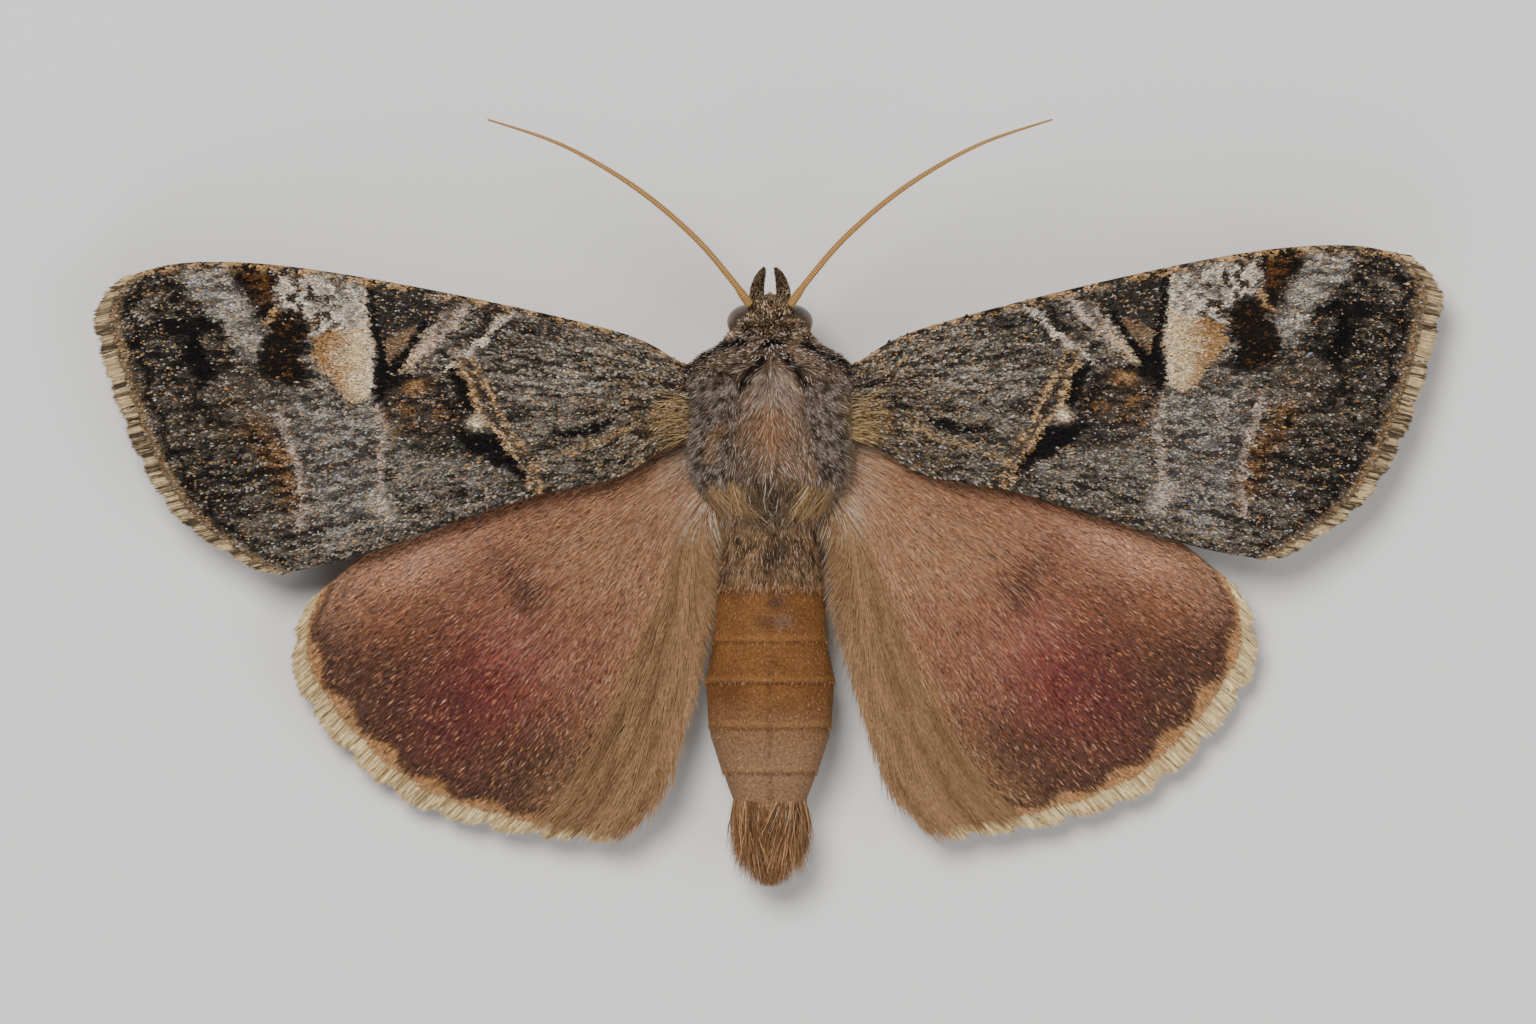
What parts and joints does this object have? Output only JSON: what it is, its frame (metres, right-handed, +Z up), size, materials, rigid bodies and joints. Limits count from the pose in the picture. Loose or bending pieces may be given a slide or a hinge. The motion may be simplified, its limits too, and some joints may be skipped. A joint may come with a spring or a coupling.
{
  "type": "owlet moth",
  "caption": "Life-size still owlet moth with spread patterned wings, furry body, feelers and six legs, resting on its feet as a display model",
  "frame": {"origin": "centre of the bounding box seen from above, on the floor plane that the feet rest on", "axes": "+X to the moth's left along the wingspan, +Y to its tail, +Z up; the head points to -Y"},
  "size_m": [0.0404, 0.023, 0.0067],
  "materials": {
    "fur_grey_brown": "short dense grey-brown fur, matte",
    "fur_brown": "short brown fur, matte",
    "fur_orange_brown": "orange-brown fur, matte",
    "forewing_scales": "charcoal-grey overlapping scales, matte",
    "hindwing_scales": "mauve-brown overlapping scales, matte",
    "eye_gloss": "glossy faceted grey-brown eye",
    "horn_gold": "golden tan horn, satin",
    "leg_scales": "grey-tan scaled legs, matte"
  },
  "bodies": {
    "root": {"abdomen": "fur_orange_brown", "antenna_left": "horn_gold", "antenna_right": "horn_gold", "eye_left": "eye_gloss", "eye_right": "eye_gloss", "foreleg_left": "leg_scales", "foreleg_right": "leg_scales", "forewing_left": "forewing_scales", "forewing_right": "forewing_scales", "head": "fur_brown", "hindleg_left": "leg_scales", "hindleg_right": "leg_scales", "hindwing_left": "hindwing_scales", "hindwing_right": "hindwing_scales", "midleg_left": "leg_scales", "midleg_right": "leg_scales", "palp_left": "fur_brown", "palp_right": "fur_brown", "proboscis": "horn_gold", "thorax": "fur_grey_brown"}
  },
  "joints": []
}
